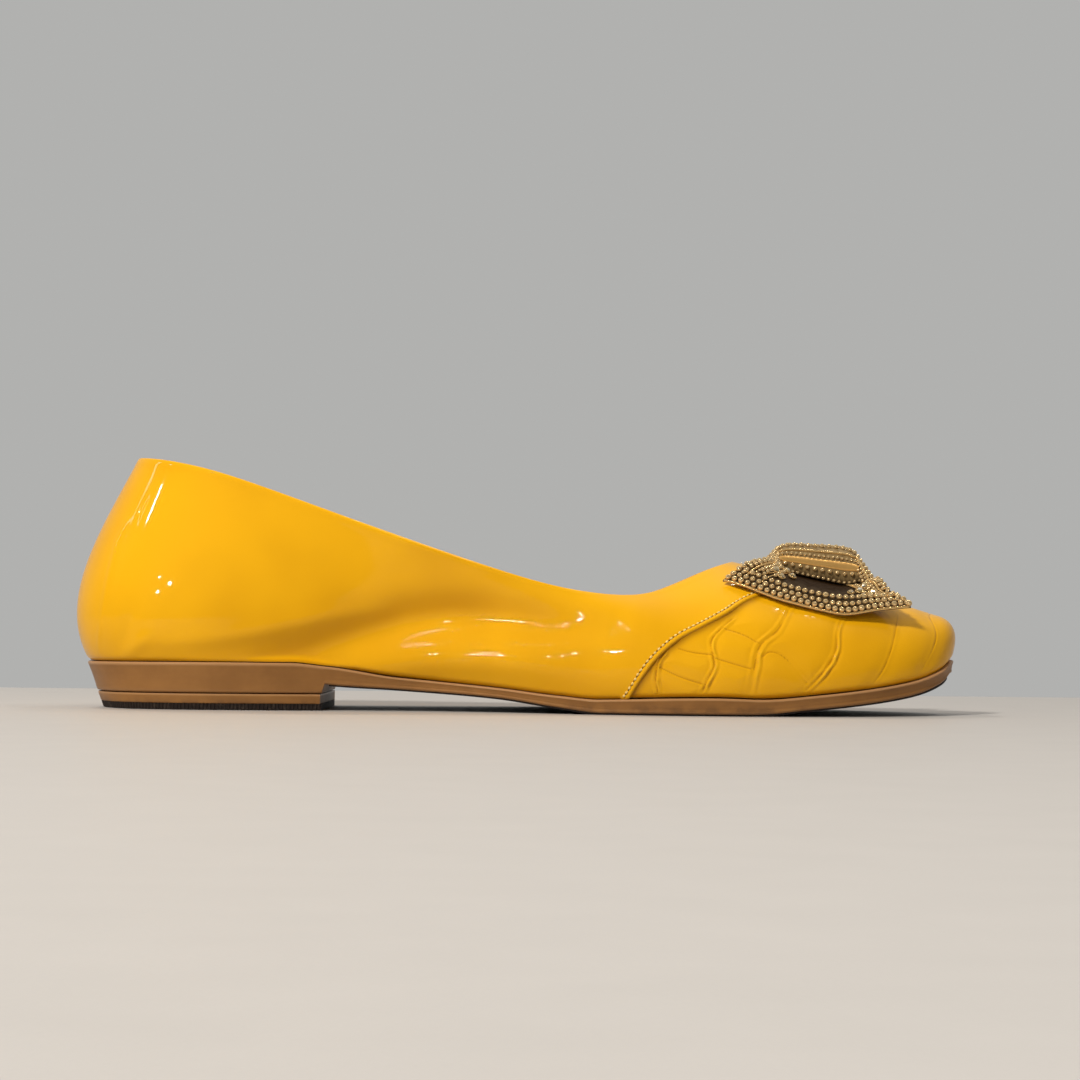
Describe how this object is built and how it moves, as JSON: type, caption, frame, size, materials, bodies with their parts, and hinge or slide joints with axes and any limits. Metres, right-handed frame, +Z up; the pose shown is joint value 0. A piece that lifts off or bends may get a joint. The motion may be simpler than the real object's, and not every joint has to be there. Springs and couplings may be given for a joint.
{
  "type": "ballet flat",
  "caption": "Left ballet flat with glossy yellow quarters, an embossed toe vamp, a low tan moulded sole and a beaded gilt bow at the throat.",
  "frame": {"origin": "middle of the heel's rest on the floor", "axes": "+X towards the toe, +Z up, -Y towards the inner side of the foot"},
  "size_m": [0.2496, 0.0828, 0.0706],
  "materials": {
    "patent": "glossy patent",
    "embossed": "glossy, reptile embossed",
    "lining": "matte",
    "sole": "satin",
    "tread": "matte",
    "insole": "matte",
    "thread": "waxed",
    "gilt": "bright gilt",
    "stones": "faceted stones"
  },
  "bodies": {
    "root": {"upper": "patent", "outsole": "sole", "heel_lift": "sole", "insole": "insole", "bow_wings": "gilt", "bow_knot": "gilt"}
  },
  "joints": []
}
